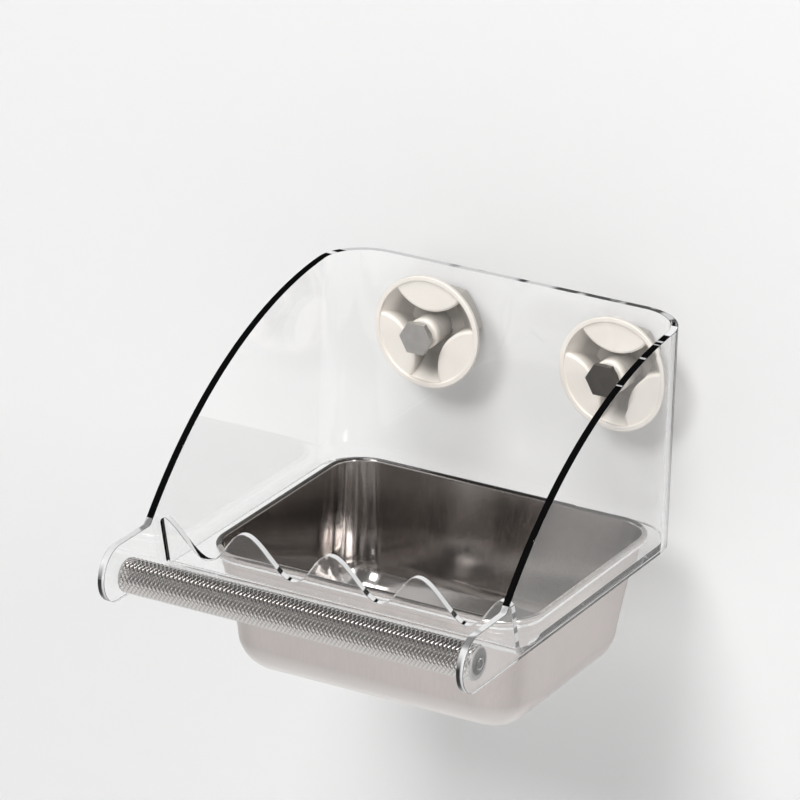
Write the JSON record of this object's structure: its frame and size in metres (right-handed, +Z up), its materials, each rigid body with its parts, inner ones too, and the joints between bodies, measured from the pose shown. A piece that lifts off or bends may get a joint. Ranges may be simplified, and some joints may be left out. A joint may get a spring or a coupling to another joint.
{
  "type": "window bird feeder",
  "caption": "Clear bent-sheet window feeder with swept sides, a scalloped guard, a lift-out steel seed pan, a knurled perch and bolted suction mounts.",
  "frame": {"origin": "on the window's surface, midway between the two suction pads", "axes": "+Y out of the part towards the window, +Z up, +X right as seen from the room"},
  "size_m": [0.16, 0.2135, 0.144],
  "materials": {
    "clear_acrylic": "clear, polished, 3 mm sheet",
    "stainless_pan": "satin, deep drawn",
    "knurled_steel": "diamond knurl, bright",
    "cream_plastic": "moulded, slight sheen",
    "soft_pad": "soft, milky",
    "brass_insert": "turned",
    "clear_washer": "clear, thin",
    "bolt_steel": "satin"
  },
  "bodies": {
    "feeder": {"acrylic_body": "clear_acrylic", "shelf": "clear_acrylic", "left_mount": "cream_plastic", "left_suction_pad": "soft_pad", "left_threaded_insert": "brass_insert", "right_mount": "cream_plastic", "right_suction_pad": "soft_pad", "right_threaded_insert": "brass_insert"},
    "pan": {"seed_pan": "stainless_pan"},
    "perch": {"perch_rod": "knurled_steel"},
    "left_washer": {"left_bolt_washer": "clear_washer"},
    "left_bolt": {"left_hex_bolt": "bolt_steel"},
    "right_washer": {"right_bolt_washer": "clear_washer"},
    "right_bolt": {"right_hex_bolt": "bolt_steel"}
  },
  "joints": [
    {"name": "pan_lift", "type": "slide", "parent": "feeder", "child": "pan", "axis": [0, 0, 1], "range_m": [0, 0.046]},
    {"name": "perch_turn", "type": "hinge", "parent": "feeder", "child": "perch", "pos_m": [0, -0.1978, -0.0507], "axis": [1, 0, 0], "continuous": true},
    {"name": "left_bolt_back_out", "type": "slide", "parent": "feeder", "child": "left_washer", "axis": [0, -1, 0], "range_m": [0, 0.004]},
    {"name": "left_bolt_turn", "type": "hinge", "parent": "left_washer", "child": "left_bolt", "pos_m": [-0.0425, -0.03, 0], "axis": [0, -1, 0], "range_deg": [0, 1152.1]},
    {"name": "right_bolt_back_out", "type": "slide", "parent": "feeder", "child": "right_washer", "axis": [0, -1, 0], "range_m": [0, 0.004]},
    {"name": "right_bolt_turn", "type": "hinge", "parent": "right_washer", "child": "right_bolt", "pos_m": [0.0425, -0.03, 0], "axis": [0, -1, 0], "range_deg": [0, 1152.1]}
  ],
  "couplings": [
    {"joint": "left_bolt_turn", "follows": "left_bolt_back_out", "rad_per_m": 5026.5},
    {"joint": "right_bolt_turn", "follows": "right_bolt_back_out", "rad_per_m": 5026.5}
  ]
}
